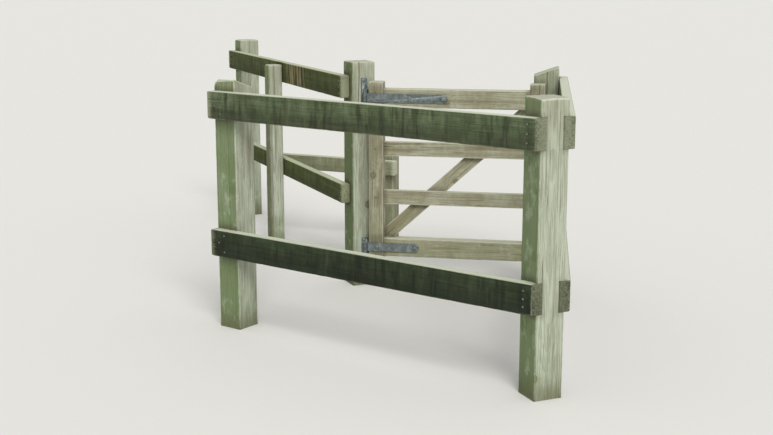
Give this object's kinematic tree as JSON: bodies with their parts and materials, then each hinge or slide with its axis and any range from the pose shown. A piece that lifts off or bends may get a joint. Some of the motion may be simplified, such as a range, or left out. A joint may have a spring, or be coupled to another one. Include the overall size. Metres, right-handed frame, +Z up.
{
  "type": "timber kissing gate",
  "caption": "Timber kissing gate: a braced leaf on hook-and-band hinges swings between the arms of a V of posts and rails, beside a bay of post-and-rail fence.",
  "frame": {"origin": "centre of the hanging post's foot, at ground level", "axes": "+X along the fence line from the hanging post to the point of the V, -Y the track side, +Y the field side, +Z up"},
  "size_m": [4.015, 1.8782, 1.175],
  "materials": {
    "weathered_post_timber": "sawn softwood weathered pale grey-green, with algae on its shaded faces",
    "weathered_rail_timber": "sawn softwood weathered dark grey-green, with pale worn top edges",
    "weathered_leaf_timber": "planed softwood weathered grey-tan",
    "galvanised_steel": "dull hot-dip galvanised forged steel"
  },
  "bodies": {
    "posts_and_rails": {"hanging_post": "weathered_post_timber", "track_clapping_post": "weathered_post_timber", "field_clapping_post": "weathered_post_timber", "apex_post": "weathered_post_timber", "fence_end_post": "weathered_post_timber", "fence_prick_post": "weathered_post_timber", "guard_post": "weathered_post_timber", "fence_top_rail": "weathered_rail_timber", "fence_lower_rail": "weathered_rail_timber", "guard_rail": "weathered_rail_timber", "track_arm_top_rail": "weathered_rail_timber", "track_arm_lower_rail": "weathered_rail_timber", "field_arm_top_rail": "weathered_rail_timber", "field_arm_lower_rail": "weathered_rail_timber", "upper_gate_hook": "galvanised_steel", "lower_gate_hook": "galvanised_steel"},
    "leaf": {"leaf_heel_stile": "weathered_leaf_timber", "leaf_head_stile": "weathered_leaf_timber", "leaf_top_rail": "weathered_leaf_timber", "leaf_middle_rail_1": "weathered_leaf_timber", "leaf_middle_rail_2": "weathered_leaf_timber", "leaf_bottom_rail": "weathered_leaf_timber", "leaf_brace": "weathered_leaf_timber", "upper_band_hinge": "galvanised_steel", "lower_band_hinge": "galvanised_steel"}
  },
  "joints": [
    {"name": "leaf_swing", "type": "hinge", "parent": "posts_and_rails", "child": "leaf", "pos_m": [0.0925, 0, 0], "axis": [0, 0, -1], "range_deg": [0, 113.03]}
  ]
}
